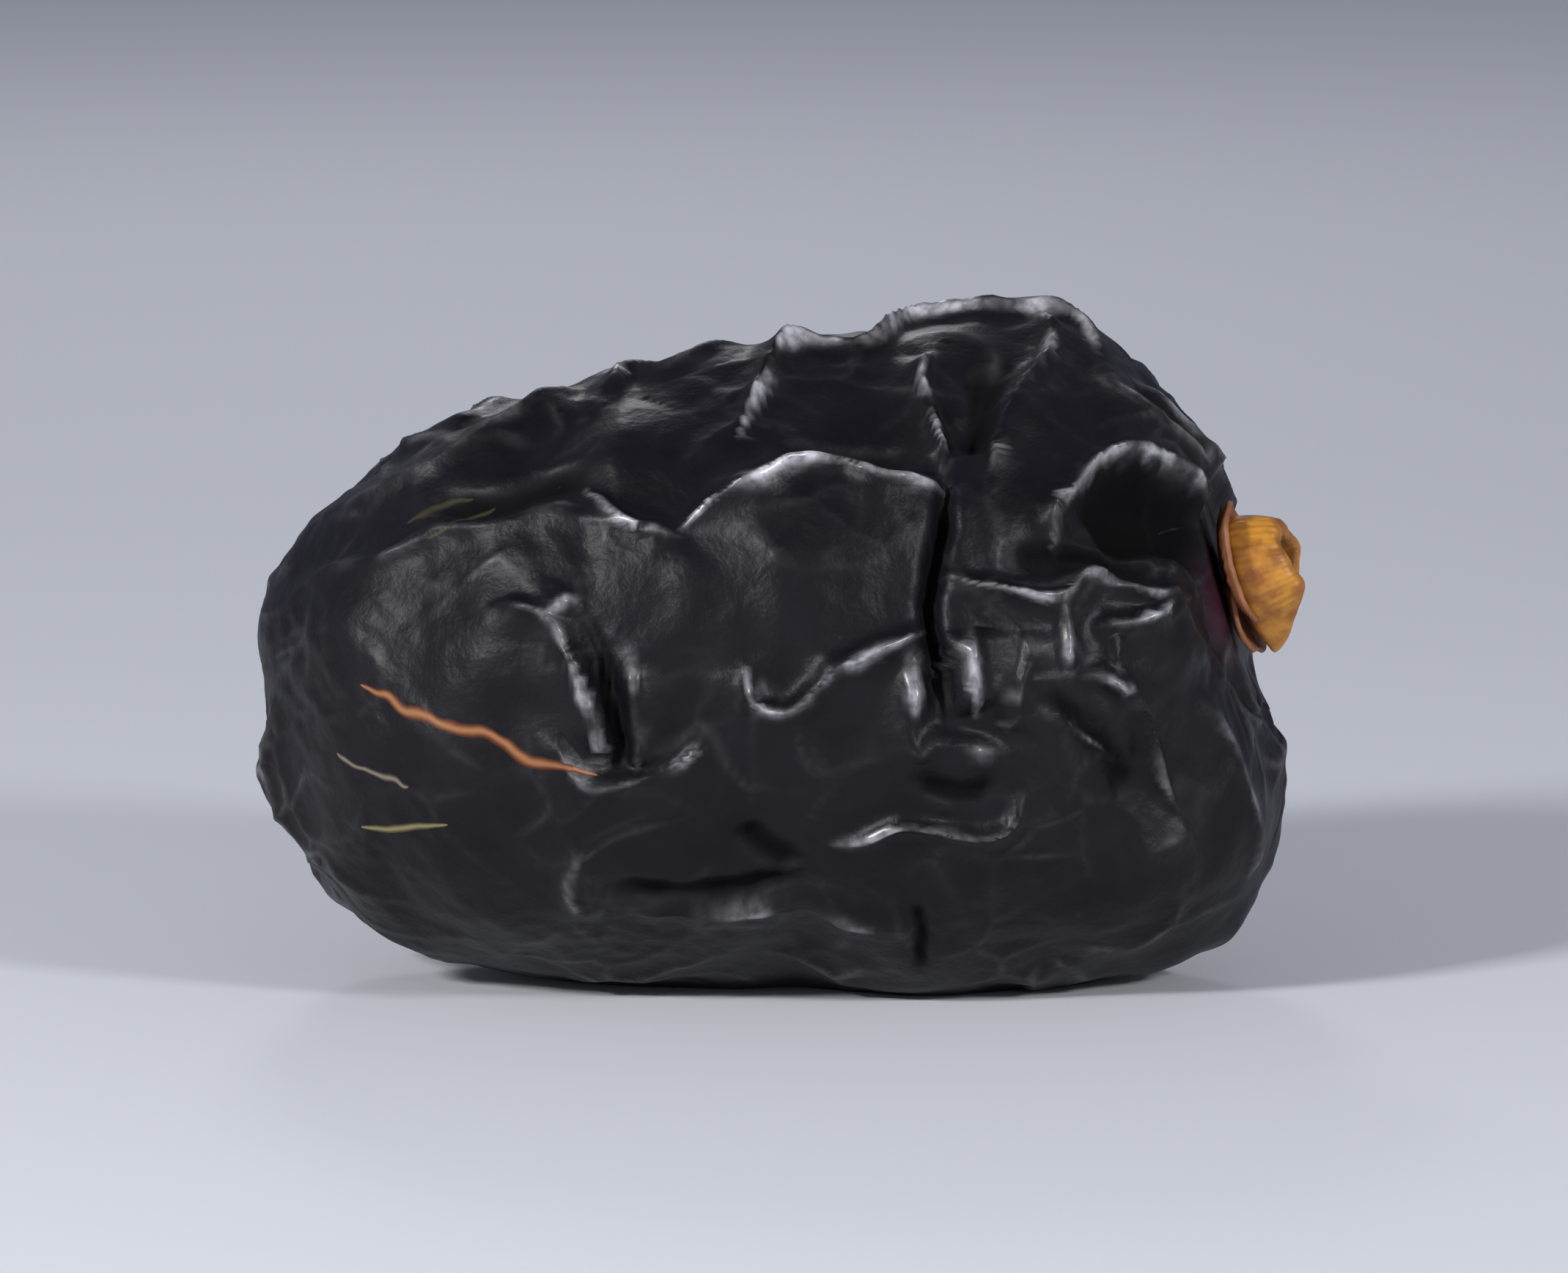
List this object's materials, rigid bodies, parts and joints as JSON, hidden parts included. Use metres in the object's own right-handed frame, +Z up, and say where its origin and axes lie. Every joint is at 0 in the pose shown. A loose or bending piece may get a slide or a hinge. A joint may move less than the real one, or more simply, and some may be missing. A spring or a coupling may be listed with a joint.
{
  "type": "ajwa date",
  "caption": "Whole dried ajwa date lying on its side: a blunt oval black fruit with deep wrinkles and sharp crests, its petal collar and golden sepal ring still on the stalk end.",
  "frame": {"origin": "on the table, under the middle of the date's box", "axes": "+X along the fruit towards the calyx at the stalk end, -Y towards the side that the picture shows, +Z up from the table"},
  "size_m": [0.0322, 0.0208, 0.0212],
  "materials": {
    "dried_skin": "satin, wrinkled dried fruit skin with a thin waxy sheen on the crests",
    "dry_petal": "matte, dry papery brown petals",
    "dry_sepal": "matte, dry golden amber, slightly fibrous"
  },
  "bodies": {
    "root": {"date_fruit": "dried_skin", "petal_collar": "dry_petal", "sepal_ring": "dry_sepal"}
  },
  "joints": []
}
